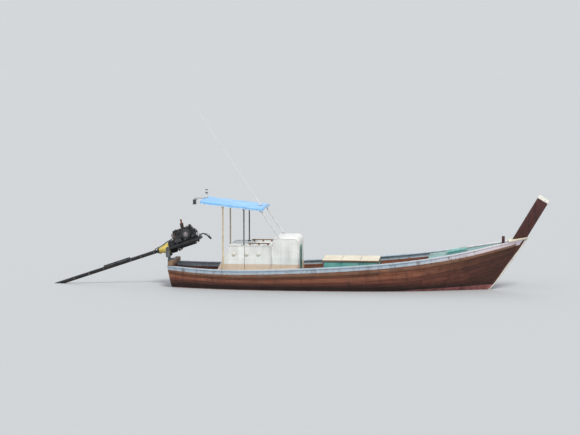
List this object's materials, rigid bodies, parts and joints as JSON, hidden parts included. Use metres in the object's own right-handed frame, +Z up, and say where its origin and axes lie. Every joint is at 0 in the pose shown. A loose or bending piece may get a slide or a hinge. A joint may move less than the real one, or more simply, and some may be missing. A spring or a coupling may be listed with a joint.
{
  "type": "longtail boat",
  "caption": "Open wooden fishing boat with raised prow post, low deckhouse, canopy over the helm, and an engine that swivels and tilts at the stern with its propeller on a long tail tube.",
  "frame": {"origin": "on the centreline amidships, at the waterline", "axes": "+X forward to the bow, +Y to port, +Z up"},
  "size_m": [12.6126, 1.9534, 4.7539],
  "materials": {
    "keel_timber": "weathered dark oiled hardwood",
    "hull_planking": "worn red-brown oiled planks",
    "bottom_planking": "dark antifouled planks with a faded pinkish boot line",
    "sheer_planking": "lighter orange-brown planks, worn",
    "rub_rail": "dark worn timber",
    "prow_timber": "dark red-brown paint, white-painted head",
    "cream_paint": "chipped cream paint",
    "gunwale_paint": "light blue-grey paint, worn",
    "inside_paint": "turquoise paint, worn",
    "deck_paint": "pale turquoise paint, scuffed",
    "house_paint": "white paint with a peach base strip",
    "door_paint": "dark green paint",
    "bare_boards": "bare grey-brown boards",
    "cream_pipe": "cream paint with rust spots",
    "grey_pipe": "dark grey paint",
    "white_pipe": "white paint",
    "galvanised_steel": "grey galvanised steel with rust",
    "tail_steel": "dark rusty pipe",
    "engine_frame": "black paint, oily",
    "engine_iron": "oily black iron",
    "rusty_iron": "rust",
    "filter_can": "black can with a pale worn face",
    "yellow_paint": "faded yellow paint",
    "bronze": "dull bronze",
    "canopy_cloth": "light blue coated cloth",
    "aerial_whip": "white fibreglass",
    "lamp_white": "white plastic on a black base",
    "lamp_grey": "grey die-cast case"
  },
  "bodies": {
    "hull": {"keel": "keel_timber", "stem": "hull_planking", "prow_post": "prow_timber", "prow_foot_cap": "cream_paint", "transom": "hull_planking", "bottom_planking_port": "bottom_planking", "bottom_planking_starboard": "bottom_planking", "side_planking_port": "hull_planking", "side_planking_starboard": "hull_planking", "sheer_strake_port": "sheer_planking", "sheer_strake_starboard": "sheer_planking", "gunwale_port": "gunwale_paint", "gunwale_starboard": "gunwale_paint", "rub_rail_port": "rub_rail", "rub_rail_starboard": "rub_rail", "side_deck_port": "deck_paint", "side_deck_starboard": "deck_paint", "cabin_side_port": "house_paint", "cabin_side_starboard": "house_paint", "ribs": "inside_paint", "floorboards": "bare_boards", "fore_bulkhead": "inside_paint", "foredeck": "deck_paint", "bow_bitt": "prow_timber", "engine_beam": "bare_boards", "cabin_front": "house_paint", "cabin_back": "house_paint", "cabin_roof": "house_paint", "cabin_hood": "house_paint", "fish_hold": "inside_paint", "aft_hoop": "cream_pipe", "mid_hoop": "grey_pipe", "front_hoop": "white_pipe", "aerial": "aerial_whip", "mast_lamp": "lamp_white", "flood_lamp": "lamp_grey", "pivot_bracket": "galvanised_steel", "canopy_cover": "canopy_cloth", "canopy_frame": "bare_boards"},
    "swivel": {"swivel_yoke": "galvanised_steel"},
    "power_unit": {"engine_cradle": "engine_frame", "engine_block": "engine_iron", "engine_head": "engine_iron", "exhaust_pipe": "rusty_iron", "air_filter": "filter_can", "coupling_housing": "yellow_paint", "tail_tube": "tail_steel", "tiller": "galvanised_steel"},
    "drive_line": {"crank_pulley": "engine_iron", "propeller": "bronze"},
    "deckhouse_door": {"cabin_door": "door_paint"},
    "hold_cover": {"hold_lid": "cream_paint"},
    "hatch_cover": {"foredeck_hatch": "inside_paint"}
  },
  "joints": [
    {"name": "engine_swivel", "type": "hinge", "parent": "hull", "child": "swivel", "pos_m": [-4.45, 0, 0.64], "axis": [0, 0, 1], "range_deg": [-55, 55]},
    {"name": "engine_tilt", "type": "hinge", "parent": "swivel", "child": "power_unit", "pos_m": [-4.45, 0, 0.936], "axis": [0, 1, 0], "range_deg": [-6, 24]},
    {"name": "propeller_spin", "type": "hinge", "parent": "power_unit", "child": "drive_line", "pos_m": [-4.45, 0, 0.936], "axis": [0.9478, 0, 0.319], "continuous": true},
    {"name": "cabin_door_hinge", "type": "hinge", "parent": "hull", "child": "deckhouse_door", "pos_m": [-1.15, 0.205, 0.535], "axis": [0, 0, 1], "range_deg": [0, 105]},
    {"name": "hold_lid_hinge", "type": "hinge", "parent": "hull", "child": "hold_cover", "pos_m": [0.115, 0.535, 0.695], "axis": [-1, 0, 0], "range_deg": [0, 100]},
    {"name": "hatch_hinge", "type": "hinge", "parent": "hull", "child": "hatch_cover", "pos_m": [2.9251, 0, 1.0006], "axis": [0, 1, 0], "range_deg": [0, 100]}
  ]
}
